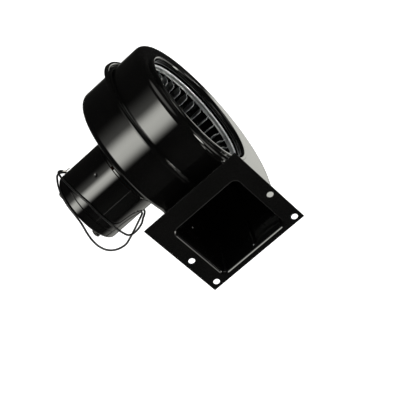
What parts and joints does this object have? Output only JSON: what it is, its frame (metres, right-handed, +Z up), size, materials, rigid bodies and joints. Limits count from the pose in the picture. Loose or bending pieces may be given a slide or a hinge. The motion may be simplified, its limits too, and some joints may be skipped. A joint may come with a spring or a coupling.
{
  "type": "combustion fan",
  "caption": "Centrifugal blower with a scroll housing, a flanged discharge, a round lipped inlet and a round motor on the shaft's far side.",
  "frame": {"origin": "centre of the discharge flange, on its front face", "axes": "+X is the way the air leaves the discharge, +Y is along the shaft from the motor towards the inlet, +Z is up, across the flange towards the scroll's side"},
  "size_m": [0.2077, 0.19, 0.2166],
  "materials": {
    "black_enamel": "gloss baked enamel",
    "galvanised_steel": "galvanised sheet, semi-bright",
    "bright_steel": "zinc plated or ground",
    "lamination_steel": "dull laminated",
    "copper_winding": "varnished winding",
    "cast_aluminium": "die cast",
    "sintered_bronze": "porous sintered",
    "oiled_felt": "oiled wool felt",
    "thrust_plastic": "moulded",
    "rubber_bushing": "matt",
    "lead_insulation": "semi-gloss",
    "tinned_copper": "tinned strands"
  },
  "bodies": {
    "housing": {"discharge_flange": "black_enamel", "inlet_shell": "black_enamel", "motor_side_shell": "black_enamel", "motor_front_bracket": "black_enamel", "motor_can": "black_enamel", "motor_end_cap": "black_enamel", "stator_core": "lamination_steel", "stator_winding_front": "copper_winding", "stator_winding_rear": "copper_winding", "front_bearing": "sintered_bronze", "rear_bearing": "sintered_bronze", "front_oil_felt": "oiled_felt", "rear_oil_felt": "oiled_felt", "front_bearing_retainer": "bright_steel", "rear_bearing_retainer": "bright_steel", "through_bolt_1": "bright_steel", "through_bolt_2": "bright_steel", "through_bolt_3": "bright_steel", "through_bolt_4": "bright_steel", "end_nut_1": "bright_steel", "end_nut_2": "bright_steel", "end_nut_3": "bright_steel", "end_nut_4": "bright_steel", "housing_nut_1": "bright_steel", "housing_nut_2": "bright_steel", "housing_nut_3": "bright_steel", "housing_nut_4": "bright_steel", "lead_1": "lead_insulation", "lead_2": "lead_insulation", "lead_1_bare_end": "tinned_copper", "lead_2_bare_end": "tinned_copper", "lead_1_bushing": "rubber_bushing", "lead_2_bushing": "rubber_bushing"},
    "rotor": {"shaft": "bright_steel", "rotor_core": "lamination_steel", "rotor_end_ring_front": "cast_aluminium", "rotor_end_ring_rear": "cast_aluminium", "front_thrust_washer": "thrust_plastic", "rear_thrust_washer": "thrust_plastic", "wheel_blades": "galvanised_steel", "wheel_front_band": "galvanised_steel", "wheel_rim_ring": "galvanised_steel", "wheel_back_plate": "galvanised_steel", "wheel_hub": "bright_steel", "hub_set_screw": "bright_steel"}
  },
  "joints": [
    {"name": "wheel_spin", "type": "hinge", "parent": "housing", "child": "rotor", "pos_m": [-0.1007, 0, 0.0667], "axis": [0, 1, 0], "continuous": true}
  ]
}
